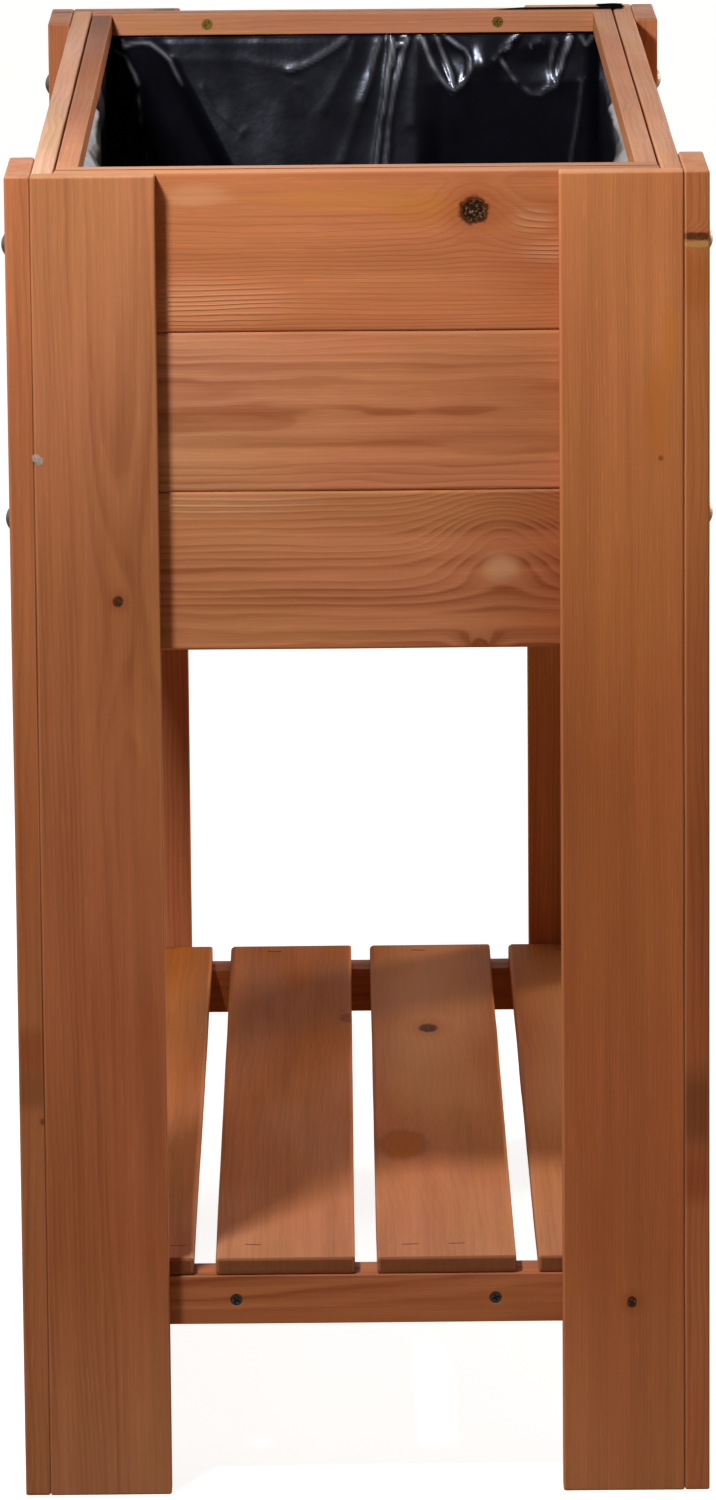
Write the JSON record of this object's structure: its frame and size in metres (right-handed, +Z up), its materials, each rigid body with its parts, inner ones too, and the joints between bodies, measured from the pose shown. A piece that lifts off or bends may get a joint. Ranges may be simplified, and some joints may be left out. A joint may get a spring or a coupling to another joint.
{
  "type": "raised garden bed",
  "caption": "Waist-high wooden planter box on four L-shaped board legs, lined with black film, with a slatted storage shelf between the legs.",
  "frame": {"origin": "on the ground, in the middle between the four legs", "axes": "+Z up, +Y along the long side towards the back end, +X across the short side to the right as seen from the front end"},
  "size_m": [0.4198, 0.868, 0.8],
  "materials": {
    "stained_pine": "translucent terracotta stain, planed",
    "stained_pine_light": "translucent terracotta stain, planed",
    "stained_pine_dark": "translucent terracotta stain, sawn",
    "pe_film": "glossy, thin",
    "zinc_steel": "zinc plated",
    "brass_screw": "yellow passivated",
    "black_screw": "black phosphated"
  },
  "bodies": {
    "root": {"leg_side_board_front_left": "stained_pine", "leg_side_board_front_right": "stained_pine", "leg_side_board_back_left": "stained_pine", "leg_side_board_back_right": "stained_pine", "leg_end_board_front_left": "stained_pine", "leg_end_board_front_right": "stained_pine", "leg_end_board_back_left": "stained_pine", "leg_end_board_back_right": "stained_pine", "end_board_front_top": "stained_pine_light", "end_board_front_middle": "stained_pine_light", "end_board_front_bottom": "stained_pine_light", "end_board_back_top": "stained_pine_light", "end_board_back_middle": "stained_pine_light", "end_board_back_bottom": "stained_pine_light", "side_board_left_top": "stained_pine_light", "side_board_left_middle": "stained_pine_light", "side_board_left_bottom": "stained_pine_light", "side_board_right_top": "stained_pine_light", "side_board_right_middle": "stained_pine_light", "side_board_right_bottom": "stained_pine_light", "rim_batten_front": "stained_pine_light", "rim_batten_back": "stained_pine_light", "rim_batten_left": "stained_pine_light", "rim_batten_right": "stained_pine_light", "floor_cleat_left": "stained_pine_dark", "floor_cleat_right": "stained_pine_dark", "floor_board_1": "stained_pine_dark", "floor_board_2": "stained_pine_dark", "floor_board_3": "stained_pine_dark", "floor_board_4": "stained_pine_dark", "floor_board_5": "stained_pine_dark", "floor_board_6": "stained_pine_dark", "floor_board_7": "stained_pine_dark", "floor_board_8": "stained_pine_dark", "floor_board_9": "stained_pine_dark", "planter_liner": "pe_film", "shelf_rail_front": "stained_pine", "shelf_rail_back": "stained_pine", "shelf_cleat_front": "stained_pine", "shelf_cleat_back": "stained_pine", "shelf_slat_1": "stained_pine_light", "shelf_slat_2": "stained_pine_light", "shelf_slat_3": "stained_pine_light", "shelf_slat_4": "stained_pine_light", "carriage_bolts": "zinc_steel", "bolt_washers": "zinc_steel", "bolt_nuts": "zinc_steel", "leg_screws": "zinc_steel", "end_board_screws": "zinc_steel", "side_board_screws": "zinc_steel", "rim_batten_screws": "brass_screw", "floor_cleat_screws": "zinc_steel", "rail_leg_screws": "zinc_steel", "shelf_screws": "black_screw"}
  },
  "joints": []
}
